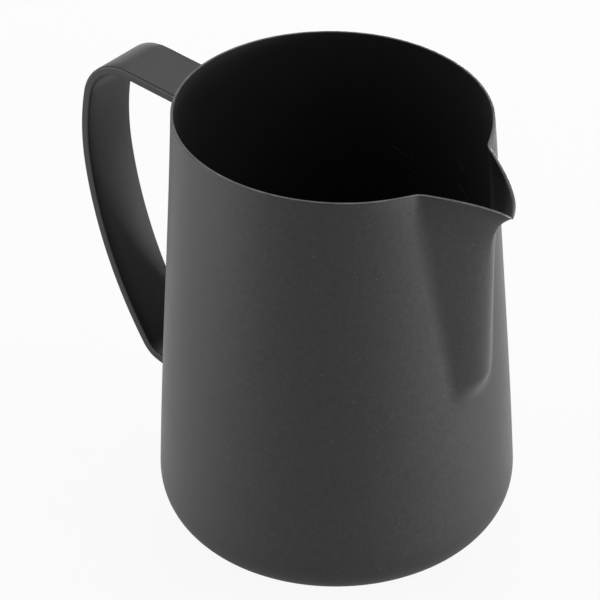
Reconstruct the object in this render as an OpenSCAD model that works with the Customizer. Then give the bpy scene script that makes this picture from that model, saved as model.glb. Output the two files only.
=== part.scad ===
// Milk frothing pitcher: a drawn sheet-steel cup with a pressed spout, and a strap handle
// welded to it at two places. The spout points along +X and the handle along -X.

/* [Cup] */
// Height of the rim halfway between the spout and the handle
cup_h = 110; // [80:1:150]
// Outside diameter of the rim
rim_d = 74.6; // [64:0.2:90]
// Outside diameter that the wall would reach on the table if its corner were sharp
base_d = 88.8; // [80:0.2:100]
// Lean of the wall at the rim, in degrees off plumb
rim_lean = 3.2; // [0:0.1:6]
// Lean of the wall at the table, in degrees off plumb
base_lean = 2.3; // [0:0.1:6]
// Outside radius of the corner between the wall and the base
corner_r = 11.8; // [6:0.2:18]
// Thickness of the drawn sheet
sheet_t = 0.6; // [0.5:0.1:1.2]
// Height that the rim gains from its sides to the handle, and loses to the spout
rim_rise = 1.6; // [0:0.1:4]
// Height that the rim's sides stand above its slanted plane, and its ends lie below it
rim_wave = 0.2; // [0:0.05:1]
// Radius of the pressed-up middle of the base
dish_r = 26; // [15:1:28]
// Height of the pressed-up middle of the base
dish_h = 0.8; // [0.4:0.1:2]

/* [Spout] */
// Distance from the cup's axis to the tip of the spout
tip_reach = 50.5; // [47:0.5:56]
// Distance from the cup's axis to the crest of the ridge below the lip
ridge_reach = 44.4; // [43:0.1:46]
// Depth over which the crest flares out to the tip
flare_depth = 4; // [3:0.1:8]
// Angle of each flank off the ridge's middle plane, low on the ridge
ridge_flank = 47; // [44:1:54]
// Angle of each flank off the ridge's middle plane, at the lip
lip_flank = 27.9; // [24:0.1:40]
// Depth over which the flanks steepen towards the lip
steepen_depth = 3; // [3:0.1:10]
// Half-width over which the crest is rounded
crest_w = 5; // [3:0.1:7]
// Height at which the ridge starts to grow out of the wall
ridge_z = 47; // [30:1:60]
// Height that the ridge takes to grow to its full size
ridge_rise = 9; // [8:1:20]
// Softness of the valley between the ridge and the wall, low on the ridge
valley_soft = 0.6; // [0.5:0.1:3]
// Softness of the valley at the lip
valley_lip_soft = 0.6; // [0.2:0.1:3]
// How far the rim sinks towards the spout from both sides
rim_sink = 2.2; // [0:0.1:6]
// Angle to each side of the spout over which the rim sinks
sink_angle = 70; // [40:1:90]
// How far the tip dips below the sunken rim
tip_dip = 5; // [0:0.1:6]
// Angle to each side of the tip over which it dips
dip_angle = 5.3; // [3:0.1:8]
// How far the lip is drawn in on both sides of the spout
pinch = 0.8; // [0:0.1:1.5]
// Angle from the spout at which the lip is drawn in most
pinch_angle = 22; // [20:1:40]
// Depth over which the wall comes back out below the pinch
pinch_depth = 5; // [4:1:30]

/* [Handle] */
// Width of the strap
strap_w = 15.4; // [10:0.1:20]
// Thickness of the strap
strap_t = 2.4; // [1.5:0.1:4]
// Radius of the strap's softened edges
strap_edge_r = 0.5; // [0.2:0.1:0.7]
// How far the strap's centre meets the wall below the rim at the handle
strap_below_rim = 9.9; // [6:0.1:20]
// Climb of the top run away from the wall, in degrees
top_climb = 5.7; // [0:0.1:15]
// Length of the top run, from the wall to the first bend
top_run = 19.6; // [10:0.1:30]
// Radius of the bend at the top
top_bend_r = 12.4; // [8:0.1:20]
// Radius of the upper half of the grip
grip_r = 62.2; // [40:0.1:90]
// Radius of the lower half of the grip
sweep_r = 109.8; // [80:0.1:140]
// Radius of the bend at the foot
foot_bend_r = 6.6; // [4:0.1:10]
// Radius of the weld bead
bead_r = 1.1; // [0.8:0.1:1.6]

/* [Hidden] */
finish_colour = [0.13, 0.13, 0.135];
weld_colour = [0.17, 0.17, 0.175];

// Angles that each bend of the strap turns through
top_angle = 82.1;
grip_angle = 19.8;
sweep_angle = 26.1;
foot_angle = 41.4;

rim_r = rim_d / 2;
base_r = base_d / 2;
ridge_angle = 45;
join_drop = 6;
pinch_spread = 18;
overlap = 5;
step = 0.01;

// ---------- the plain wall, without its spout ----------

// Radius of the wall at height z: a cubic that leaves both ends at the leans given above
function wall_r(z) =
    let (u = z / cup_h, low = -tan(base_lean) * cup_h, high = -tan(rim_lean) * cup_h)
    base_r * (2 * pow(u, 3) - 3 * pow(u, 2) + 1) + low * (pow(u, 3) - 2 * pow(u, 2) + u)
    + rim_r * (3 * pow(u, 2) - 2 * pow(u, 3)) + high * (pow(u, 3) - pow(u, 2));

function wall_lean(z) = atan((wall_r(z - step) - wall_r(z + step)) / (2 * step));

// ---------- the spout ----------

function ease(t) = let (s = min(1, max(0, t))) s * s * (3 - 2 * s);
function fade(depth, length) = exp(-max(0, depth) / length);
function blend(low, high, share) = low + (high - low) * share;

// What stands above zero, with a soft foot of the given height
function soft_above_zero(h, soft) = h <= -soft ? 0 : h >= soft ? h : pow(h + soft, 2) / (4 * soft);

// Reach at angle q of two flat flanks that meet in a rounded crest, with the plan
// x = crest - slope * (sqrt(y * y + crest_w * crest_w) - crest_w)
function flanks_r(q, crest, slope) =
    let (
        apex = crest + slope * crest_w,
        k = apex * apex - pow(slope * crest_w, 2),
        root = pow(apex * cos(q), 2) - (pow(cos(q), 2) - pow(slope * sin(q), 2)) * k
    )
    k / (apex * cos(q) + sqrt(max(0, root)));

// How far the ridge stands off the wall at angle q from its crest
function ridge_stand(q, z, depth) =
    let (
        crest = blend(ridge_reach, tip_reach, fade(depth, flare_depth)),
        steep = fade(depth, steepen_depth),
        slope = blend(1 / tan(ridge_flank), 1 / tan(lip_flank), steep),
        above = flanks_r(q, crest, slope) - wall_r(z) + drawn_in(q, depth)
    )
    soft_above_zero(above, blend(valley_soft, valley_lip_soft, steep))
    * ease((z - ridge_z) / ridge_rise) * ease((ridge_angle - abs(q)) / 10);

// How far the wall is drawn in at angle q and at a depth below the lip
function drawn_in(q, depth) =
    pinch * exp(-pow((abs(q) - pinch_angle) / pinch_spread, 2)) * fade(depth, pinch_depth);

function spout_r(q, z, depth) =
    wall_r(z) - drawn_in(q, depth) + (abs(q) < ridge_angle ? ridge_stand(q, z, depth) : 0);

// Height of the rim at angle q: a slanted plane, sunk towards the spout and dipped at its tip
function rim_z(q) =
    let (off = sqrt(q * q + 0.25) - 0.5)
    cup_h - rim_rise * spout_r(q, cup_h, 0) * cos(q) / rim_r - rim_wave * cos(2 * q)
    - rim_sink * pow(max(0, 1 - off / sink_angle), 2) - tip_dip * exp(-off / dip_angle);

function skin_r(q, z) = spout_r(q, z, rim_z(q) - z);
function skin(q, z) = [skin_r(q, z) * cos(q), skin_r(q, z) * sin(q), z];

// The inside of the sheet: the outside moved in level, so that the sheet keeps its thickness
function lining(q, z) =
    let (
        normal = cross(skin(q + 0.1, z) - skin(q - 0.1, z), skin(q, z + step) - skin(q, z - step)),
        unit = normal / norm(normal),
        level = [unit.x, unit.y, 0]
    )
    skin(q, z) - level * sheet_t / (level * level);

// ---------- the cup ----------

join_z = ridge_z - join_drop;
rows = 17;
half = concat([for (q = [0:1.5:9]) q], [for (q = [11:2:25]) q], [for (q = [28:4:176]) q]);
columns = concat(half, [180], [for (i = [len(half) - 1:-1:1]) -half[i]]);
count = len(columns);

// Rows lie closer together towards the rim
function row_z(q, i) = join_z + step + (rim_z(q) - join_z - step) * (1 - pow(1 - i / rows, 1.35));

// The loft starts inside the sheet of the lower cup, so that the two run into each other
function lap(q, depth) =
    let (r = wall_r(join_z) - depth) [r * cos(q), r * sin(q), join_z - sheet_t];

// Triangles between neighbouring rings of a grid of points, with each ring closed on itself
function grid_faces(rings, round_, first = 0) = [
    for (i = [0:rings - 2], j = [0:round_ - 1])
        let (a = first + i * round_ + j, b = first + i * round_ + (j + 1) % round_)
        each [[a, a + round_, b + round_], [a, b + round_, b]]
];
function flipped(faces) = [for (f = faces) [f[2], f[1], f[0]]];

// The upper wall with the spout, as one closed loft from the lap up to the rim
module upper_wall() {
    outside = concat([for (q = columns) lap(q, sheet_t / 4)],
                     [for (i = [0:rows], q = columns) skin(q, row_z(q, i))]);
    inside = concat([for (q = columns) lap(q, sheet_t * 3 / 4)],
                    [for (i = [0:rows], q = columns) lining(q, row_z(q, i))]);
    in0 = len(outside);
    rings = rows + 2;
    top = in0 - count;
    ends = [for (j = [0:count - 1])
        let (k = (j + 1) % count)
        each [
            [top + j, top + in0 + j, top + in0 + k], [top + j, top + in0 + k, top + k],
            [j, in0 + k, in0 + j], [j, k, in0 + k]
        ]];
    polyhedron(
        concat(outside, inside),
        concat(grid_faces(rings, count), flipped(grid_faces(rings, count, in0)), ends));
}

// Half section of the solid that fills the lower cup, moved in by the given amount
module lower_section(inset) {
    lean = wall_lean(corner_r);
    foot_z = corner_r * (1 + sin(lean));
    centre_x = wall_r(foot_z) - corner_r * cos(lean);
    heights = [for (i = [0:4]) foot_z + (join_z - foot_z) * i / 4];
    translate([centre_x, corner_r]) circle(corner_r - inset);
    translate([0, inset]) square([centre_x, join_z - inset]);
    polygon(concat(
        [[centre_x, corner_r]],
        [[centre_x + (corner_r - inset) * cos(lean), corner_r + (corner_r - inset) * sin(lean)]],
        [for (z = heights) [wall_r(z) - inset / cos(wall_lean(z)), z]],
        [[centre_x, join_z]]));
}

// Half section of the step that is pressed up into the base, thick millimetres thick
module dish_section(thick) {
    polygon([[0, 0], [dish_r + dish_h + thick, 0], [dish_r, dish_h + thick], [0, dish_h + thick]]);
}

module lower_cup() {
    rotate_extrude($fn = 180) difference() {
        lower_section(0);
        difference() {
            lower_section(sheet_t);
            dish_section(sheet_t);
        }
        translate([0, -step]) dish_section(step);
    }
}

module cup() {
    color(finish_colour) union() {
        lower_cup();
        upper_wall();
    }
}

// ---------- the handle ----------

strap_z = cup_h + rim_rise - strap_below_rim;
strap_r = wall_r(strap_z);

// Everything inside the wall's outer face, to seat the strap and its welds on the wall
module inside_of_wall() {
    heights = [for (i = [0:16]) (cup_h + overlap) * i / 16];
    rotate_extrude($fn = 256)
        polygon(concat([[0, 0]], [for (z = heights) [wall_r(z), z]], [[0, cup_h + overlap]]));
}

// Places along a bend, each as [x, z, heading], walked outwards from a place already reached.
// Headings are degrees above the level line that points away from the cup.
function bend(at, r, turn, pieces) = [
    for (i = [1:pieces])
        let (h = at[2] - turn * i / pieces)
        [at[0] + r * (sin(at[2]) - sin(h)), at[1] - r * (cos(at[2]) - cos(h)), h]
];
function run(at, length) = [[at[0] + length * cos(at[2]), at[1] + length * sin(at[2]), at[2]]];
function last(list) = list[len(list) - 1];

// The strap's centre line, from inside the wall at the top to inside the wall at the foot
top_at = [strap_r, strap_z, top_climb];
top_start = run(top_at, -overlap);
top_end = run(top_at, top_run);
top_bend = bend(last(top_end), top_bend_r, top_angle, 16);
grip = bend(last(top_bend), grip_r, grip_angle, 6);
sweep = bend(last(grip), sweep_r, sweep_angle, 9);
foot_bend = bend(last(sweep), foot_bend_r, foot_angle, 8);
foot_at = last(foot_bend);
foot_end = run(foot_at, (foot_at[0] - wall_r(foot_at[1]) + overlap) / -cos(foot_at[2]));
centre_line = concat(top_start, top_end, top_bend, grip, sweep, foot_bend, foot_end);

corner_sides = [[1, 1], [-1, 1], [-1, -1], [1, -1]];

// Outline of a rounded rectangle, thick along x and wide along y, with three facets to a corner
function rounded(thick, wide, r) = [
    for (corner = [0:3], i = [0:3])
        let (a = corner * 90 + i * 30, side = corner_sides[corner])
        [side.x * (thick / 2 - r) + r * cos(a), side.y * (wide / 2 - r) + r * sin(a)]
];

// Closes a list of rings, each a loop of the same number of points, into a solid
module tube(rings) {
    n = len(rings[0]);
    end = (len(rings) - 1) * n;
    polyhedron(
        [for (ring = rings, p = ring) p],
        concat(
            grid_faces(len(rings), n),
            [for (j = [1:n - 2]) [0, j, j + 1]],
            [for (j = [1:n - 2]) [end, end + j + 1, end + j]]));
}

module strap() {
    section = rounded(strap_t, strap_w, strap_edge_r);
    tube([for (at = centre_line)
        [for (p = section) [-(at[0] - p.x * sin(at[2])), p.y, at[1] + p.x * cos(at[2])]]]);
}

module handle() {
    color(finish_colour) difference() {
        strap();
        inside_of_wall();
    }
}

// ---------- the welds ----------

// Height at which the straight end of the foot meets the wall
foot_slope = tan(foot_at[2]);
function foot_meets(z, tries) =
    tries == 0 ? z : foot_meets(foot_at[1] + (wall_r(z) - foot_at[0]) * foot_slope, tries - 1);
foot_z = foot_meets(foot_at[1], 8);

// A bead that follows the strap's outline round, on the wall at height z, for a strap that
// meets the wall at the given heading
module bead(z, heading) {
    sides = 8;
    lean = wall_lean(z);
    thick = strap_t * cos(lean) / abs(cos(heading + lean));
    path = rounded(thick, strap_w, strap_edge_r);
    n = len(path);
    points = [for (i = [0:n - 1])
        let (
            before = path[(i + n - 1) % n],
            after = path[(i + 1) % n],
            along = (after - before) / norm(after - before),
            out = [along.y, -along.x]
        )
        for (j = [0:sides - 1])
            let (
                flat = path[i] + out * bead_r * cos(360 * (j + 0.5) / sides),
                height = z + flat.x,
                r = wall_r(height) + bead_r * sin(360 * (j + 0.5) / sides),
                y = flat.y
            )
            [-sqrt(r * r - y * y), y, height]];
    faces = [for (i = [0:n - 1], j = [0:sides - 1])
        let (
            a = i * sides + j,
            b = i * sides + (j + 1) % sides,
            c = ((i + 1) % n) * sides + j,
            d = ((i + 1) % n) * sides + (j + 1) % sides
        )
        each [[a, b, d], [a, d, c]]];
    polyhedron(points, faces);
}

// The straight end of the strap where it meets the wall at height z
module strap_end(z, heading) {
    translate([-wall_r(z), 0, z]) rotate([0, heading - 90, 0])
        linear_extrude(2 * overlap, center = true) polygon(rounded(strap_t, strap_w, strap_edge_r));
}

module weld(z, heading) {
    color(weld_colour) difference() {
        bead(z, heading);
        strap_end(z, heading);
        inside_of_wall();
    }
}

module upper_weld() { weld(strap_z, top_climb); }
module lower_weld() { weld(foot_z, foot_at[2]); }

cup();
handle();
upper_weld();
lower_weld();
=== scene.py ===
import math

import bmesh
import bpy
import numpy as np
from mathutils import Matrix, Vector
from mathutils.bvhtree import BVHTree


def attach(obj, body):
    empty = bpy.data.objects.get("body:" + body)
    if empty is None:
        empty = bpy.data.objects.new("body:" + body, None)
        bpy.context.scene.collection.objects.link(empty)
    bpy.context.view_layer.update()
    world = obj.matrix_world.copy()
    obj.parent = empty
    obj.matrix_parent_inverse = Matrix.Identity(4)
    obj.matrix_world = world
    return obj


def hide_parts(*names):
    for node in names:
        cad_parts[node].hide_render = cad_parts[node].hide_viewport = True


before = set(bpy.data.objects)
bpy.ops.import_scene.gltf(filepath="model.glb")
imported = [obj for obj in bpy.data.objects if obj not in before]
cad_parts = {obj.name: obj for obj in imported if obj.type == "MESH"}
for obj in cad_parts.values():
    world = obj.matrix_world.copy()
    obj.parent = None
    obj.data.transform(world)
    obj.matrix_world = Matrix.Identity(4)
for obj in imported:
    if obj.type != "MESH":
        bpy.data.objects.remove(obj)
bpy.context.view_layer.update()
print("frame loaded:", sorted(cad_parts))

mm = 0.001
bpy.context.scene.view_settings.view_transform = "Standard"

# Image points in the photograph's 600 x 600 frame, as x, y; None where only one of them is meant.
frameSize = (600, 600)
imagePoints = {
    "objectLeft": (82.2, None),
    "objectRight": (515.2, None),
    "objectTop": (None, 30.4),
    "objectBottom": (None, 585.9),
    "rimLeft": (169.2, None),
    "rimRight": (495.0, None),
    "spoutTip": (514.5, 207.5),
    "leftCrease": (416.0, 194.8),
    "rightCrease": (485.8, 148.0),
    "frontLip": (None, 202.5),
    "handleTop": (150.5, 42.3),
    "handleFoot": (163.5, 363.5),
    "bellyLeft": (159.4, None),
    "bellyRight": (511.9, None),
    "valleyFront": (431.5, 262.0),
    "scratchLeftHigh": (396.5, 148.5),
    "scratchLeftMiddle": (407.0, 155.0),
    "scratchLeftLow": (412.5, 171.0),
    "scratchRightHigh": (460.5, 165.0),
    "scratchRightLow": (463.0, 191.0),
}

# The camera, settled by the image points with its shift left at zero; places are in metres.
camera = {
    "distance": 0.650,
    "elevation": 34.26,
    "azimuth": -50.55,  # from +X, so the spout points to the right and a little forward
    "lens": 162.8,
    "sensorWidth": 36.0,
    "roll": -1.09,
    "target": (-0.00647, -0.00532, 0.05837),
    "shiftX": 0.0,
    "shiftY": 0.0,
}


def makeCamera(s):
    # A camera that looks at its target from a distance, elevation and azimuth, turned by its roll.
    el = math.radians(s["elevation"])
    az = math.radians(s["azimuth"])
    away = Vector((math.cos(el) * math.cos(az), math.cos(el) * math.sin(az), math.sin(el)))
    data = bpy.data.cameras.new("camera")
    data.sensor_fit = "AUTO"
    data.sensor_width = s["sensorWidth"]
    data.lens = s["lens"]
    data.shift_x = s["shiftX"]
    data.shift_y = s["shiftY"]
    data.clip_start = 0.01
    data.clip_end = 50
    obj = bpy.data.objects.new("camera", data)
    bpy.context.scene.collection.objects.link(obj)
    turn = (-away).to_track_quat("-Z", "Y").to_matrix().to_4x4()
    turn = turn @ Matrix.Rotation(math.radians(s["roll"]), 4, "Z")
    obj.matrix_world = Matrix.Translation(Vector(s["target"]) + away * s["distance"]) @ turn
    bpy.context.scene.camera = obj
    return obj


cameraObject = makeCamera(camera)


def project(points):
    # Image position of points given in metres: into the camera's axes, then over the depth.
    toCamera = np.array(cameraObject.matrix_world.inverted())
    p = np.asarray(points, float) @ toCamera[:3, :3].T + toCamera[:3, 3]
    w, h = frameSize
    size = max(w, h)
    scale = size * camera["lens"] / camera["sensorWidth"] / -p[:, 2]
    x = w / 2 - camera["shiftX"] * size + p[:, 0] * scale
    y = h / 2 + camera["shiftY"] * size - p[:, 1] * scale
    return np.stack([x, y], 1)


def rayThrough(x, y):
    # Start and direction of the ray that an image point stands for.
    w, h = frameSize
    size = max(w, h)
    ray = Vector((x - w / 2 + camera["shiftX"] * size,
                  h / 2 - y + camera["shiftY"] * size,
                  -size * camera["lens"] / camera["sensorWidth"]))
    m = cameraObject.matrix_world
    return m.translation.copy(), (m.to_3x3() @ ray).normalized()


def placeOn(obj, x, y):
    # Place and normal where the ray through an image point meets a finished piece, or the place
    # nearest the ray.
    graph = bpy.context.evaluated_depsgraph_get()
    tree = BVHTree.FromObject(obj, graph)
    start, way = rayThrough(x, y)
    hit = tree.ray_cast(start, way)
    if hit[0] is not None:
        return hit[:2]
    along = (obj.matrix_world @ Vector(obj.bound_box[0]) - start).dot(way)
    return tree.find_nearest(start + way * along)[:2]


# The cup, in millimetres and degrees; the spout points along +X, and "depth" is below the lip.
cup = {
    "height": 110.0,
    "rimDiameter": 74.6,
    "baseDiameter": 88.8,
    "rimLean": 3.2,
    "baseLean": 2.3,
    "cornerWide": 12.4,
    "cornerHigh": 12.6,
    "cornerFullness": 2.2,
    "sheet": 0.6,
    "rimRise": 1.6,
    "rimWave": 0.2,
    "rimSink": 1.2,  # wide sinking of the rim towards the spout, over sinkAngle each way
    "sinkAngle": 70.0,
    "tipDip": 5.6,  # narrow dip of the rim at the tip
    "dipAngle": 6.5,
    "tipRound": 0.4,
    "pinch": 0.5,  # how far the wall is pulled in beside the ridge
    "pinchAngle": 22.0,
    "pinchSpread": 18.0,
    "pinchDepth": 6.0,
    "dishRadius": 25.0,
    "dishSlope": 3.0,
    "dishHeight": 0.8,
    "tipReach": 50.5,
    "ridgeReach": 44.35,
    "ridgeAngle": 42.0,  # the ridge lies within this angle of the spout
    "flareDepth": 4.0,
    "ridgeSlope": 0.933,
    "lipSlope": 1.75,
    "steepenDepth": 4.0,
    "crestWidth": 5.0,
    "ridgeFoot": 47.0,
    "ridgeRise": 9.0,
    "valleySoft": 0.8,
    "valleyLipSoft": 0.9,
    "lipBevel": 0.16,
    "bevelTurns": (0.3, 0.7, 1.0),  # shares of a quarter turn at which the bevel has its rows
    "levelFrom": 14.0,  # from this height the lining moves in level, fully so levelOver higher
    "levelOver": 6.0,
    "leastLevel": 0.05,  # keeps that move finite where the skin faces down
    "polishAngle": 12.0,  # where the inside of the spout is smoothest, and over what spread
    "polishSpread": 16.0,
    "columns": 288,
    "firstRing": 0.6,  # radius of the ring round the pole
    "slopeStart": 0.15,  # share of the dish's slope at which its first ring lies
    "ringGap": 0.4,  # between the dish's slope and the foot
    "dishRings": 10,
    "slopeRings": 6,
    "footRings": 6,
    "cornerRings": 29,
    "wallRows": 104,
    "spoutCrowding": 0.28,  # spacing of the columns at the spout, as a share of an even spacing
    "lipCrowding": 1.5,
}


def smooth(t):
    # Smooth step from 0 to 1.
    t = np.clip(t, 0, 1)
    return t * t * (3 - 2 * t)


def wallRadius(z):
    # Cubic in the height that leaves the table and the rim at their leans.
    c = cup
    u = z / c["height"]
    low = -math.tan(math.radians(c["baseLean"])) * c["height"]
    high = -math.tan(math.radians(c["rimLean"])) * c["height"]
    return (c["baseDiameter"] / 2 * (2 * u**3 - 3 * u**2 + 1) + low * (u**3 - 2 * u**2 + u)
            + c["rimDiameter"] / 2 * (3 * u**2 - 2 * u**3) + high * (u**3 - u**2))


def skinRadius(q, z, depth):
    # Radius of the outer skin at angle q from the spout: the wall, plus what stands above it of a
    # ridge whose plan is x = crest - slope * (sqrt(y^2 + width^2) - width), solved for polar q.
    c = cup
    depth = np.maximum(depth, 0)
    pull = np.exp(-((np.degrees(np.abs(q)) - c["pinchAngle"]) / c["pinchSpread"]) ** 2)
    wall = wallRadius(z) - c["pinch"] * pull * np.exp(-depth / c["pinchDepth"])
    flare = (c["tipReach"] - c["ridgeReach"]) * np.exp(-depth / c["flareDepth"])
    crest = c["ridgeReach"] + flare
    steep = np.exp(-depth / c["steepenDepth"])
    slope = c["ridgeSlope"] + (c["lipSlope"] - c["ridgeSlope"]) * steep
    width = c["crestWidth"]
    near = np.abs(q) < math.radians(c["ridgeAngle"])
    turn = np.where(near, q, 0)
    co, si = np.cos(turn), np.sin(turn)
    m = crest + slope * width
    k = m**2 - (slope * width) ** 2
    root = np.sqrt(np.maximum((m * co) ** 2 - (co**2 - (slope * si) ** 2) * k, 0))
    above = np.where(near, k / (m * co + root) - wall, -np.inf)
    soft = c["valleyLipSoft"] + (c["valleySoft"] - c["valleyLipSoft"]) * (1 - steep)
    stand = np.where(above > soft, above, np.maximum(above + soft, 0) ** 2 / (4 * soft))
    return wall + smooth((z - c["ridgeFoot"]) / c["ridgeRise"]) * stand


def rimHeight(q):
    # Height of the rim: a slanted plane, sunk over a wide angle to the spout and dipped at its tip.
    c = cup
    lip = skinRadius(q, np.full_like(q, c["height"]), np.zeros_like(q))
    off = np.sqrt(np.degrees(q) ** 2 + c["tipRound"] ** 2) - c["tipRound"]
    sink = c["rimSink"] * np.clip(1 - off / c["sinkAngle"], 0, 1) ** 2
    dip = c["tipDip"] * np.exp(-off / c["dipAngle"])
    slant = c["rimRise"] * lip * np.cos(q) / (c["rimDiameter"] / 2) + c["rimWave"] * np.cos(2 * q)
    return c["height"] - slant - sink - dip


def ringAngles(count):
    # Angles round the cup, from -180 to 180 degrees, crowded at the spout by a cubic.
    t = np.arange(count) / count * 2 - 1
    crowding = cup["spoutCrowding"]
    return math.pi * (crowding * t + (1 - crowding) * t**3)


def outerSkin(q):
    # Rows of the outer skin from the table's centre up to the rim, as an array rows x columns x 3:
    # the dish, its slope, the foot, the corner as a quarter of a full ellipse, and the wall.
    c = cup
    power = 2 / c["cornerFullness"]
    flat, slope = c["dishRadius"], c["dishSlope"]
    slopeR = flat + np.linspace(c["slopeStart"], 1, c["slopeRings"]) * slope
    dishR = np.concatenate([np.linspace(c["firstRing"], flat, c["dishRings"]), slopeR])
    dishZ = c["dishHeight"] * (1 - smooth((dishR - flat) / slope))
    footR = np.linspace(slopeR[-1] + c["ringGap"], wallRadius(0.0) - c["cornerWide"], c["footRings"])
    phi = np.linspace(0, math.pi / 2, c["cornerRings"] + 1)[1:]
    cornerZ = c["cornerHigh"] * (1 - np.cos(phi) ** power)
    cornerR = wallRadius(cornerZ) - c["cornerWide"] * (1 - np.sin(phi) ** power)
    lowR = np.repeat(np.concatenate([dishR, footR, cornerR])[:, None], len(q), 1)
    lowZ = np.repeat(np.concatenate([dishZ, footR * 0, cornerZ])[:, None], len(q), 1)
    top = rimHeight(q)
    s = np.linspace(0, 1, c["wallRows"] + 1)[1:, None]
    wallZ = c["cornerHigh"] + (top[None] - c["cornerHigh"]) * (1 - (1 - s) ** c["lipCrowding"])
    wallR = skinRadius(np.repeat(q[None], len(s), 0), wallZ, top[None] - wallZ)
    r = np.concatenate([lowR, wallR])
    z = np.concatenate([lowZ, wallZ])
    return np.stack([r * np.cos(q), r * np.sin(q), z], 2)


def gridNormals(grid):
    # Outward unit normals of a grid whose columns close on themselves.
    around = np.roll(grid, -1, 1) - np.roll(grid, 1, 1)
    up = np.gradient(grid, axis=0)
    n = np.cross(around, up)
    return n / np.linalg.norm(n, axis=2, keepdims=True)


def meshFromRows(name, rows, poles=(None, None), attributes=None):
    # A mesh from rows of points, each row closed on itself; a pole closes an end with a fan.
    count, n = rows.shape[:2]
    points = rows.reshape(-1, 3)
    i, j = np.meshgrid(np.arange(count - 1), np.arange(n), indexing="ij")
    a = i * n + j
    b = i * n + (j + 1) % n
    faces = np.stack([a, b, b + n, a + n], 2).reshape(-1, 4).tolist()
    j = np.arange(n)
    extra = []
    for pole, row, flip in ((poles[0], 0, True), (poles[1], count - 1, False)):
        if pole is not None:
            at = len(points) + len(extra)
            a, b = row * n + j, row * n + (j + 1) % n
            fan = np.stack([b, a, a * 0 + at] if flip else [a, b, a * 0 + at], 1)
            faces += fan.tolist()
            extra.append(pole)
    if extra:
        points = np.concatenate([points, np.array(extra)])
    mesh = bpy.data.meshes.new(name)
    mesh.from_pydata((points * mm).tolist(), [], faces)
    for key, values in (attributes or {}).items():
        values = np.concatenate([np.asarray(values, np.float32).ravel(), np.zeros(len(extra), np.float32)])
        mesh.attributes.new(key, "FLOAT", "POINT").data.foreach_set("value", values)
    mesh.update()
    mesh.shade_smooth()
    obj = bpy.data.objects.new(name, mesh)
    bpy.context.scene.collection.objects.link(obj)
    return obj


def makeCup():
    # The skin, a lip whose two edges are rounded by quarter circles, and the lining back down. The
    # lining lies one sheet in along the normal at the base, and moved in level on the wall, so that
    # the lip is cut level.
    c = cup
    q = ringAngles(c["columns"])
    outer = outerSkin(q)
    normal = gridNormals(outer)
    level = normal * np.array([1, 1, 0])
    level = level / np.maximum((level**2).sum(2, keepdims=True), c["leastLevel"])
    share = smooth((outer[:, :, 2:] - c["levelFrom"]) / c["levelOver"])
    inner = outer - c["sheet"] * (normal * (1 - share) + level * share)
    lipOut, lipIn = outer[-1], inner[-1]
    bevel = c["lipBevel"]
    bevelAcross = (lipIn - lipOut) * bevel / c["sheet"]
    turn = np.array(c["bevelTurns"])[:, None, None] * math.pi / 2
    into = bevelAcross * (1 - np.cos(turn))
    down = np.array([0, 0, bevel]) * (np.sin(turn) - 1)
    lip = np.concatenate([lipOut + into + down, (lipOut + lipIn)[None] / 2, (lipIn - into + down)[::-1]])
    outerBody, innerBody = outer.copy(), inner.copy()
    outerBody[-1, :, 2] -= bevel
    innerBody[-1, :, 2] -= bevel
    rows = np.concatenate([outerBody, lip, innerBody[::-1]])
    skin, edge = np.ones(outerBody.shape[:2]), np.ones(lip.shape[:2])
    # where the lip's painted highlight goes
    onLip = np.concatenate([skin * 0, edge, skin * 0])
    inside = np.concatenate([skin * 0, edge * 0.5, skin])  # the lip is half inside
    spout = inside * np.exp(-((np.degrees(q)[None] - c["polishAngle"]) / c["polishSpread"]) ** 2)
    poles = ([0, 0, outer[0, 0, 2]], [0, 0, inner[0, 0, 2]])
    obj = meshFromRows("drawn_cup", rows, poles, {"lip": onLip, "inside": inside, "spout": spout})
    return obj, q, lipOut, lipIn


cupObject, ringQ, lipOuter, lipInner = makeCup()
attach(cupObject, "root")
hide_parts("cup")
print("cup:", len(cupObject.data.polygons), "faces")

# The strap handle, in millimetres and degrees; "below" is from the rim down to its upper end.
handle = {
    "width": 15.4,
    "thickness": 2.4,
    "edge": 0.5,
    "below": 9.9,
    "climb": 5.7,
    "topRun": 19.6,
    "bends": [(12.4, 82.1, 60), (62.2, 19.8, 20), (109.8, 26.1, 26), (6.6, 41.4, 30)],  # radius, turn, steps
    "overlap": 0.4,  # how far its ends reach into the wall
    "topSteps": 25,
    "footSteps": 13,
    "wallTries": 20,  # steps that bring its lower end to the wall
    "cornerSteps": 5,
    "flatSteps": 5,
}


def centreLine():
    # x, z and heading along the strap's middle: straight, four bends that each turn it further
    # down, and straight back to the wall. The second value is where it leaves and meets the wall.
    h = handle
    z0 = cup["height"] + cup["rimRise"] - h["below"]
    x0 = float(wallRadius(z0))
    climb = math.radians(h["climb"])
    t = np.linspace(-h["overlap"], h["topRun"], h["topSteps"] + 1)
    path = [np.stack([x0 + t * math.cos(climb), z0 + t * math.sin(climb), t * 0 + climb], 1)]
    for radius, turn, pieces in h["bends"]:
        x, z, start = path[-1][-1]
        a = start - np.radians(turn) * np.arange(1, pieces + 1) / pieces
        path.append(np.stack([x + radius * (math.sin(start) - np.sin(a)),
                              z - radius * (math.cos(start) - np.cos(a)), a], 1))
    x, z, a = path[-1][-1]
    reach = 0.0
    for _ in range(h["wallTries"]):
        reach += (x + reach * math.cos(a) - float(wallRadius(z + reach * math.sin(a)))) / -math.cos(a)
    t = np.linspace(0, reach + h["overlap"], h["footSteps"] + 1)[1:]
    path.append(np.stack([x + t * math.cos(a), z + t * math.sin(a), t * 0 + a], 1))
    ends = ((x0, z0, climb), (x + reach * math.cos(a), z + reach * math.sin(a), a))
    return np.concatenate(path), ends


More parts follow.
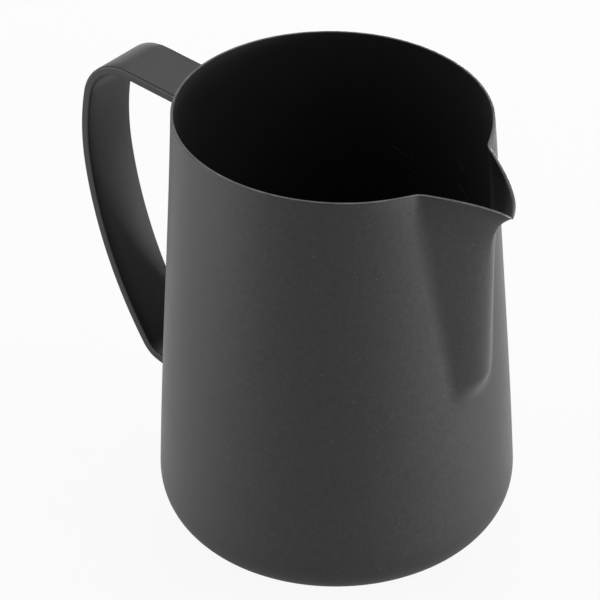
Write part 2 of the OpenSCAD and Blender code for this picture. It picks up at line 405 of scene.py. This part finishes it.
def strapOutline(flat):
    # Outline of the strap's rounded rectangle and its outward normals, anticlockwise from the +x
    # side: a quarter circle at each corner, and so many points on the flat that follows it.
    h = handle
    r, corner = h["edge"], h["cornerSteps"]
    middles = np.array([(1, 1), (-1, 1), (-1, -1), (1, -1)]) * [h["thickness"] / 2 - r, h["width"] / 2 - r]
    points, normals = [], []
    for k in range(4):
        a = math.pi / 2 * (k + np.linspace(0, 1, corner + 1))
        n = np.stack([np.cos(a), np.sin(a)], 1)
        here = middles[k] + r * n
        step = middles[(k + 1) % 4] - middles[k]
        share = np.linspace(0, 1, flat + 2)[1:-1, None]
        points += [here, here[-1] + step * share]
        normals += [n, np.repeat(n[-1:], flat, 0)]
    return np.concatenate(points), np.concatenate(normals)


def makeHandle():
    # The rounded section carried along the middle line, square to its heading.
    path, ends = centreLine()
    outline, _ = strapOutline(handle["flatSteps"])
    x, z, a = path[:, :1], path[:, 1:2], path[:, 2:]
    u, v = outline[None, :, 0], outline[None, :, 1]
    rows = np.stack([-(x - u * np.sin(a)), v + x * 0, z + u * np.cos(a)], 2)
    poles = [[-path[k, 0], 0, path[k, 1]] for k in (0, -1)]
    return meshFromRows("strap_handle", rows, poles), ends


handleObject, wallEnds = makeHandle()
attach(handleObject, "root")
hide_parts("handle")
print("handle:", len(handleObject.data.polygons), "faces")

# The two weld beads, in millimetres.
weld = {
    "leg": 1.1,
    "sunk": 0.35,
    "curveSteps": 10,
    "flatSteps": 9,
    "wallTries": 12,  # steps that bring its points to the wall
    "mergeWithin": 1e-4,
}


def mergeDoubles(obj):
    # Joins points that coincide and turns the faces outwards.
    bm = bmesh.new()
    bm.from_mesh(obj.data)
    bmesh.ops.remove_doubles(bm, verts=bm.verts, dist=weld["mergeWithin"] * mm)
    bmesh.ops.recalc_face_normals(bm, faces=bm.faces)
    bm.to_mesh(obj.data)
    bm.free()
    obj.data.shade_smooth()


def makeWeld(name, end):
    # A hollow fillet round the strap: each section is a curve from the wall to the strap whose
    # control point is their corner, closed behind by three points sunk into both.
    w = weld
    x0, z0, a = end
    side = 1 if math.cos(a) > 0 else -1
    way = np.array([-math.cos(a), 0, math.sin(a)]) * side
    thick = np.array([math.sin(a), 0, math.cos(a)])
    wide = np.array([0, 1, 0])
    outline, normals = strapOutline(w["flatSteps"])

    def onWall(p):
        # Slides points of the strap's section along the strap until they lie on the wall.
        base = np.array([-x0, 0, z0]) + p[:, :1] * thick + p[:, 1:] * wide
        t = np.zeros((len(p), 1))
        for _ in range(w["wallTries"]):
            at = base + t * way
            t += (wallRadius(at[:, 2:]) - np.hypot(at[:, :1], at[:, 1:2])) / abs(way[0])
        return base + t * way

    corner = onWall(outline)
    foot = onWall(outline + normals * w["leg"])
    rise = corner + way * w["leg"]
    inward = -foot * np.array([1, 1, 0]) / np.linalg.norm(foot[:, :2], axis=1)[:, None]
    into = -(normals[:, :1] * thick + normals[:, 1:] * wide)
    s = np.linspace(0, 1, w["curveSteps"] + 1)[:, None, None]
    curve = (1 - s) ** 2 * foot + 2 * s * (1 - s) * corner + s**2 * rise
    back = [rise + into * w["sunk"], corner + (into + inward) * w["sunk"], foot + inward * w["sunk"]]
    obj = meshFromRows(name, np.concatenate([curve, back, curve[:1]]))
    mergeDoubles(obj)
    return obj


upperWeld = makeWeld("upper_weld_bead", wallEnds[0])
lowerWeld = makeWeld("lower_weld_bead", wallEnds[1])
for piece, node in ((upperWeld, "upper_weld"), (lowerWeld, "lower_weld")):
    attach(piece, "root")
    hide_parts(node)
print("welds made")


class Sock:
    # Wraps a shader socket, so that sums and products of sockets add their Math nodes, with numbers
    # on either side.
    def __init__(self, tree, link):
        self.tree = tree
        self.link = link

    def calc(self, operation, other):
        return addNode(self.tree, "ShaderNodeMath", {"operation": operation}, {0: self, 1: other})

    def __add__(self, other):
        return self.calc("ADD", other)

    def __radd__(self, other):
        return self.calc("ADD", other)

    def __mul__(self, other):
        return self.calc("MULTIPLY", other)

    def __rmul__(self, other):
        return self.calc("MULTIPLY", other)

    def __sub__(self, other):
        return self.calc("SUBTRACT", other)

    def __rsub__(self, other):
        return addNode(self.tree, "ShaderNodeMath", {"operation": "SUBTRACT"}, {0: other, 1: self})


def addNode(tree, kind, settings, inputs, output=0):
    # Adds a node: its settings first, then the values or links of its sockets.
    node = tree.nodes.new(kind)
    for key, value in settings.items():
        setattr(node, key, value)
    for key, value in inputs.items():
        if isinstance(value, Sock):
            tree.links.new(value.link, node.inputs[key])
        else:
            node.inputs[key].default_value = value
    return Sock(tree, node.outputs[output])


def mixColour(tree, share, low, high):
    # Low times one less the share, plus high times the share.
    return addNode(tree, "ShaderNodeMix", {"data_type": "RGBA"}, {0: share, 6: low, 7: high}, 2)


def mapRange(tree, value, low, high, atLow, atHigh, kind="LINEAR"):
    # Goes from atLow to atHigh while the value goes from low to high, and stays level outside.
    return addNode(tree, "ShaderNodeMapRange", {"interpolation_type": kind},
                   {0: value, 1: low, 2: high, 3: atLow, 4: atHigh})


def noise(tree, where, scale, detail, roughness):
    # Noise with about so many features to the metre.
    return addNode(tree, "ShaderNodeTexNoise", {},
                   {"Vector": where, "Scale": scale, "Detail": detail, "Roughness": roughness})


# The coating; sizes are in millimetres and scales in features to the metre. A tone is how far a
# noise lightens and darkens the colour, and a rub is how far it shifts the roughness.
coat = {
    "colour": (0.017, 0.017, 0.0173, 1),
    "colourSwing": 0.25,
    # painted light: a lighter copy of the coat's colour for the shaded inside
    "insidePaintedLightColour": (0.023, 0.023, 0.0233, 1),
    # painted highlight along the lip
    "lipHighlightColour": (0.16, 0.16, 0.16, 1),
    "scratchColour": (0.10, 0.10, 0.10, 1),
    "dustColour": (0.08, 0.08, 0.08, 1),
    "roughness": 0.45,
    "insideRoughness": 0.56,
    "spoutPolish": 0.24,  # taken off the roughness inside the spout
    "scratchPolish": 0.1,
    "grainSize": 0.35,
    "grainTone": 1.4,
    "grainRub": 0.2,
    "grainDepth": 0.014,
    "mottleSize": 1.1,
    "mottleTone": 2.3,
    "mottleRub": 0.15,
    "mottleDepth": 0.003,
    "cloudScale": 90.0,
    "cloudTone": 0.3,
    "cloudRub": 0.10,
    "patchScale": 260.0,  # the noise that breaks up the painted highlight on the lip and the scratches
    "lipHighlightBreak": (0.35, 0.65),  # values of that noise between which the lip's painted highlight goes from least to full
    "leastLipHighlight": 0.35,
    "scratchBreak": (0.4, 0.6),
    "scratchCore": 0.3,  # share of a scratch's half width that has its full strength
    "dustSize": 0.16,
    "dustCore": 0.6,  # share of a speck's size that has its full colour
    "dustSpacing": 3.2,
    "specular": 0.325,
    "sheen": 0.05,
    "sheenRoughness": 0.35,
}
# painted shade: the strap takes a darker copy of the cup's coat
shadedStrapCoat = dict(coat, colour=(0.014, 0.014, 0.0142, 1), sheen=0.02, specular=0.28)


def scratchMask(tree, where, s, scratches, patchy):
    # A scratch's strength where a point lies near the line between its two ends, fading out to its
    # half width, broken up by noise: distance = length of (p - a) - along * share, where share is
    # (p - a).along / along.along, held between 0 and 1.
    mask = None
    for a, b, halfWidth, strength in scratches:
        along = b - a
        rel = addNode(tree, "ShaderNodeVectorMath", {"operation": "SUBTRACT"},
                      {0: where, 1: tuple(a)}, "Vector")
        dot = addNode(tree, "ShaderNodeVectorMath", {"operation": "DOT_PRODUCT"},
                      {0: rel, 1: tuple(along / along.dot(along))}, "Value")
        share = addNode(tree, "ShaderNodeClamp", {}, {"Value": dot})
        foot = addNode(tree, "ShaderNodeVectorMath", {"operation": "SCALE"},
                       {0: tuple(along), "Scale": share}, "Vector")
        off = addNode(tree, "ShaderNodeVectorMath", {"operation": "DISTANCE"}, {0: rel, 1: foot}, "Value")
        line = mapRange(tree, off, s["scratchCore"] * halfWidth, halfWidth, strength, 0.0)
        mask = line if mask is None else mask.calc("MAXIMUM", line)
    return mask * mapRange(tree, patchy, *s["scratchBreak"], 0.0, 1.0)


def coatMaterial(name, s, scratches=()):
    # Fine-grained matte coating: three sizes of noise shift the colour and the roughness, two of
    # them raise the grain, and dust lies where a cell's middle is near the surface. Only the cup has
    # scratches, and with them the attributes of its inside, lip and spout; the inside's lighter colour
    # is painted light, and the lip's lighter colour a painted highlight.
    mat = bpy.data.materials.new(name)
    mat.use_nodes = True
    tree = mat.node_tree
    tree.nodes.clear()
    out = tree.nodes.new("ShaderNodeOutputMaterial")
    shader = tree.nodes.new("ShaderNodeBsdfPrincipled")
    tree.links.new(shader.outputs[0], out.inputs[0])
    where = addNode(tree, "ShaderNodeTexCoord", {}, {}, "Object")
    grain = noise(tree, where, 1 / (s["grainSize"] * mm), detail=3.0, roughness=0.6)
    mottle = noise(tree, where, 1 / (s["mottleSize"] * mm), detail=2.0, roughness=0.6)
    cloud = noise(tree, where, s["cloudScale"], detail=3.0, roughness=0.5)
    tone = ((grain - 0.5) * s["grainTone"] + (mottle - 0.5) * s["mottleTone"]
            + (cloud - 0.5) * s["cloudTone"] + 0.5)
    low, high = (tuple(v * k for v in s["colour"][:3]) + (1,)
                 for k in (1 - s["colourSwing"], 1 + s["colourSwing"]))
    colour = mixColour(tree, tone, low, high)
    speck = addNode(tree, "ShaderNodeTexVoronoi", {},
                    {"Vector": where, "Scale": 1 / (s["dustSpacing"] * mm)}, "Distance")
    reach = s["dustSize"] / s["dustSpacing"]
    dust = mapRange(tree, speck, s["dustCore"] * reach, reach, 1.0, 0.0)
    colour = mixColour(tree, dust, colour, s["dustColour"])
    rough = ((cloud - 0.5) * s["cloudRub"] + (mottle - 0.5) * s["mottleRub"]
             + (grain - 0.5) * s["grainRub"] + s["roughness"])
    if scratches:
        inside, lip, spout = (addNode(tree, "ShaderNodeAttribute", {"attribute_name": key}, {}, "Fac")
                              for key in ("inside", "lip", "spout"))
        # painted light: the inside takes a lighter copy of the coat's colour, which lifts its shade
        colour = mixColour(tree, inside, colour, s["insidePaintedLightColour"])
        rough = rough + inside * (s["insideRoughness"] - s["roughness"]) - spout * s["spoutPolish"]
        patchy = noise(tree, where, s["patchScale"], detail=4.0, roughness=0.7)
        # painted highlight: a lighter colour along the lip, broken up by noise
        lipHighlight = mapRange(tree, patchy, *s["lipHighlightBreak"], s["leastLipHighlight"], 1.0)
        colour = mixColour(tree, lip * lipHighlight, colour, s["lipHighlightColour"])
        mark = scratchMask(tree, where, s, scratches, patchy)
        colour = mixColour(tree, mark, colour, s["scratchColour"])
        rough = rough - mark * s["scratchPolish"]
    tree.links.new(colour.link, shader.inputs["Base Color"])
    tree.links.new(rough.link, shader.inputs["Roughness"])
    height = grain + mottle * (s["mottleDepth"] / s["grainDepth"])
    bump = addNode(tree, "ShaderNodeBump", {},
                   {"Strength": 1.0, "Distance": s["grainDepth"] * mm, "Height": height})
    tree.links.new(bump.link, shader.inputs["Normal"])
    shader.inputs["Specular IOR Level"].default_value = s["specular"]
    shader.inputs["Sheen Weight"].default_value = s["sheen"]
    shader.inputs["Sheen Roughness"].default_value = s["sheenRoughness"]
    return mat


# Faint scratches that a spoon left inside, each by its image point: length and half width in
# millimetres, heading in degrees above level as it runs towards the spout, and strength.
scratchLines = {
    "scratchLeftHigh": (2.1, 0.40, -30, 0.7),
    "scratchLeftMiddle": (3.4, 0.45, -15, 0.8),
    "scratchLeftLow": (2.7, 0.40, -23, 0.5),
    "scratchRightHigh": (2.3, 0.60, -39, 0.7),
    "scratchRightLow": (4.7, 0.35, -38, 0.8),
}


def placeScratch(name):
    # Both ends lie half a length from the middle, along the wall; in metres.
    length, halfWidth, heading, strength = scratchLines[name]
    middle, normal = placeOn(cupObject, *imagePoints[name])
    level = Vector((0, 0, 1)).cross(normal).normalized()
    rise = normal.cross(level)
    a = math.radians(heading)
    half = (level * math.cos(a) + rise * math.sin(a)) * (length / 2 * mm)
    return middle - half, middle + half, halfWidth * mm, strength


scratches = {name: placeScratch(name) for name in scratchLines}
coatMat = coatMaterial("black_coat", coat, scratches.values())
strapMat = coatMaterial("black_coat_strap_painted_shade", shadedStrapCoat)
cupObject.data.materials.append(coatMat)
for piece in (handleObject, upperWeld, lowerWeld):
    piece.data.materials.append(strapMat)
print("materials made")

# The floor and the surround; radii are in metres, and the drop below the cup's foot in millimetres.
stage = {
    "floorGlow": 0.92,
    "floorColour": (0.8, 0.8, 0.8, 1),
    "floorRings": (0.1, 0.5, 4.0),
    "floorSides": 64,
    "floorDrop": 0.05,
    "paintedShadowRadius": 0.032,  # a painted contact shadow: reflections show no white within it, and all of it from openRadius
    "openRadius": 0.065,
    "worldStrength": 0.13,
}


def seenRays(tree):
    # One for the rays that show the white surroundings, straight or mirrored, and none for the rest.
    path = tree.nodes.new("ShaderNodeLightPath")
    rays = [Sock(tree, path.outputs[n]) for n in ("Is Camera Ray", "Is Glossy Ray", "Is Transmission Ray")]
    return (rays[0] + rays[1] + rays[2]).calc("MINIMUM", 1.0)


def makeFloor(s):
    # A disc whose white shows to the rays above, and whose matte share takes the shadow. In
    # reflections a painted contact shadow darkens it towards the cup's foot.
    t = np.linspace(0, 2 * math.pi, s["floorSides"] + 1)[:-1]
    ring = np.stack([np.cos(t), np.sin(t), t * 0], 1)
    drop = np.array([0, 0, -s["floorDrop"]])
    floor = meshFromRows("floor", np.array([ring * r for r in s["floorRings"]]) / mm + drop, (drop, None))
    floor.data.flip_normals()
    mat = bpy.data.materials.new("pale_floor")
    mat.use_nodes = True
    tree = mat.node_tree
    tree.nodes.clear()
    out = tree.nodes.new("ShaderNodeOutputMaterial")
    matte = addNode(tree, "ShaderNodeBsdfDiffuse", {}, {"Color": s["floorColour"]})
    glow = addNode(tree, "ShaderNodeEmission", {}, {"Strength": 1.0})
    where = addNode(tree, "ShaderNodeTexCoord", {}, {}, "Object")
    away = addNode(tree, "ShaderNodeVectorMath", {"operation": "LENGTH"}, {0: where}, "Value")
    # painted shadow: in reflections the floor's white fades out towards the cup's foot
    clearOfPaintedShadow = mapRange(tree, away, s["paintedShadowRadius"], s["openRadius"], 0.0, 1.0, "SMOOTHSTEP")
    straight = addNode(tree, "ShaderNodeLightPath", {}, {}, "Is Camera Ray")
    share = seenRays(tree) * clearOfPaintedShadow.calc("MAXIMUM", straight) * s["floorGlow"]
    both = addNode(tree, "ShaderNodeMixShader", {}, {0: share, 1: matte, 2: glow})
    tree.links.new(both.link, out.inputs[0])
    floor.data.materials.append(mat)


def makeWorld(s):
    # White where it is seen, straight or mirrored, and dim as a light.
    world = bpy.data.worlds.new("studio")
    bpy.context.scene.world = world
    world.use_nodes = True
    tree = world.node_tree
    tree.nodes.clear()
    out = tree.nodes.new("ShaderNodeOutputWorld")
    soft = addNode(tree, "ShaderNodeBackground", {}, {"Strength": s["worldStrength"]})
    white = addNode(tree, "ShaderNodeBackground", {}, {"Strength": 1.0})
    mixed = addNode(tree, "ShaderNodeMixShader", {}, {0: seenRays(tree), 1: soft, 2: white})
    tree.links.new(mixed.link, out.inputs[0])


# Four low strips light the sides and the back; three high boxes light what faces up. Each has its
# angle from the camera's own direction, anticlockwise seen from above, its height and distance in
# metres, its width and height, and its power in watts.
lampTarget = (0, 0, 0.06)
lamps = {
    "left_strip": (-80, 0.058, 0.8, (0.7, 0.1), 5.6),
    "right_strip": (65, 0.058, 0.8, (0.6, 0.1), 5.6),
    "right_edge_strip": (88, 0.058, 0.8, (0.15, 0.1), 3.5),
    "back_strip": (164, 0.058, 0.8, (0.6, 0.1), 10.0),
    "right_high_box": (80, 0.85, 0.6, (0.5, 0.5), 1.5),
    "back_high_box": (180, 0.85, 0.6, (0.5, 0.5), 2.7),
    "left_high_box": (-100, 0.85, 0.6, (0.5, 0.5), 1.1),
}


def makeLamp(name, turn, height, distance, size, power):
    # A rectangular lamp that faces the cup and isn't itself in view.
    a = math.radians(camera["azimuth"] + turn)
    place = Vector((math.cos(a) * distance, math.sin(a) * distance, height))
    data = bpy.data.lights.new(name, "AREA")
    data.shape = "RECTANGLE"
    data.size, data.size_y = size
    data.energy = power
    obj = bpy.data.objects.new(name, data)
    bpy.context.scene.collection.objects.link(obj)
    way = Vector(lampTarget) - place
    obj.matrix_world = Matrix.Translation(place) @ way.to_track_quat("-Z", "Y").to_matrix().to_4x4()
    obj.visible_camera = False


makeFloor(stage)
makeWorld(stage)
for name, values in lamps.items():
    makeLamp(name, *values)
print("stage and lights made")


# Where the features that lie on the lip and in the valley are looked for, in degrees from the
# spout; the belly's level as a share of the frame's height; and the reach of a level in pixels.
lookBetween = {
    "leftCrease": (-32, -12),
    "rightCrease": (8, 45),
    "rimRight": (30, 110),
    "frontLip": (-130, -60),
    "valleyFront": (-32, -12),
}
bellyLevel = 0.75
levelReach = 4
creaseTilt = 0.05  # the left crease is the highest place of its stretch, seen with this tilt


def columnsOf(name):
    # True for the columns of the cup that lie where a feature is looked for.
    low, high = lookBetween[name]
    q = np.degrees(ringQ)
    return (q > low) & (q < high)


def atLevel(points, y):
    # Those of the image positions that lie within the reach of a level.
    return points[np.abs(points[:, 1] - y) < levelReach]


def valleyLine():
    # Image positions down the valley beside the spout: where the skin's rows turn inwards most.
    rows = outerSkin(ringQ)[-cup["wallRows"]:]
    ahead = np.roll(rows, -1, 1) - rows
    heading = np.unwrap(np.arctan2(ahead[:, :, 1], ahead[:, :, 0]), axis=1)
    turn = np.roll(heading, -1, 1) - heading
    column = np.argmin(np.where(columnsOf("valleyFront"), turn, np.inf), axis=1) + 1
    return project(rows[np.arange(len(rows)), column] * mm)


def writePoints():
    # How far each feature shows from its image point, from the vertices that make it; a scratch by
    # the middle of its line.
    cupAt = project([v.co for v in cupObject.data.vertices])
    strapAt = project([v.co for v in handleObject.data.vertices])
    allAt = np.concatenate([cupAt, strapAt])
    lipOut, lipIn = project(lipOuter * mm), project(lipInner * mm)
    beside, across = lipIn[columnsOf("leftCrease")], lipIn[columnsOf("rightCrease")]
    farSide, front = lipOut[columnsOf("rimRight")], lipIn[columnsOf("frontLip")]
    valley = valleyLine()
    belly = atLevel(cupAt, bellyLevel * frameSize[1])
    foot = strapAt[strapAt[:, 0] < atLevel(cupAt, imagePoints["handleFoot"][1])[:, 0].min()]
    found = {
        "objectLeft": allAt[np.argmin(allAt[:, 0])],
        "objectRight": allAt[np.argmax(allAt[:, 0])],
        "objectTop": allAt[np.argmin(allAt[:, 1])],
        "objectBottom": allAt[np.argmax(allAt[:, 1])],
        "rimLeft": lipOut[np.argmin(lipOut[:, 0])],
        "rimRight": farSide[np.argmax(farSide[:, 0])],
        "spoutTip": lipOut[np.argmax(lipOut[:, 0])],
        "leftCrease": beside[np.argmin(beside[:, 1] + creaseTilt * beside[:, 0])],
        "rightCrease": across[np.argmin(across[:, 0])],
        "frontLip": front[np.argmax(front[:, 1])],
        "handleTop": strapAt[np.argmin(strapAt[:, 1])],
        "handleFoot": foot[np.argmax(foot[:, 1])],
        "bellyLeft": belly[np.argmin(belly[:, 0])],
        "bellyRight": belly[np.argmax(belly[:, 0])],
        "valleyFront": valley[np.argmin(np.abs(valley[:, 1] - imagePoints["valleyFront"][1]))],
    }
    for name, (start, end, *_) in scratches.items():
        found[name] = project([(start + end) / 2])[0]
    report = {name: [None if w is None else round(float(g - w), 2) for g, w in zip(found[name], want)]
              for name, want in imagePoints.items()}
    print("points:", report)


writePoints()
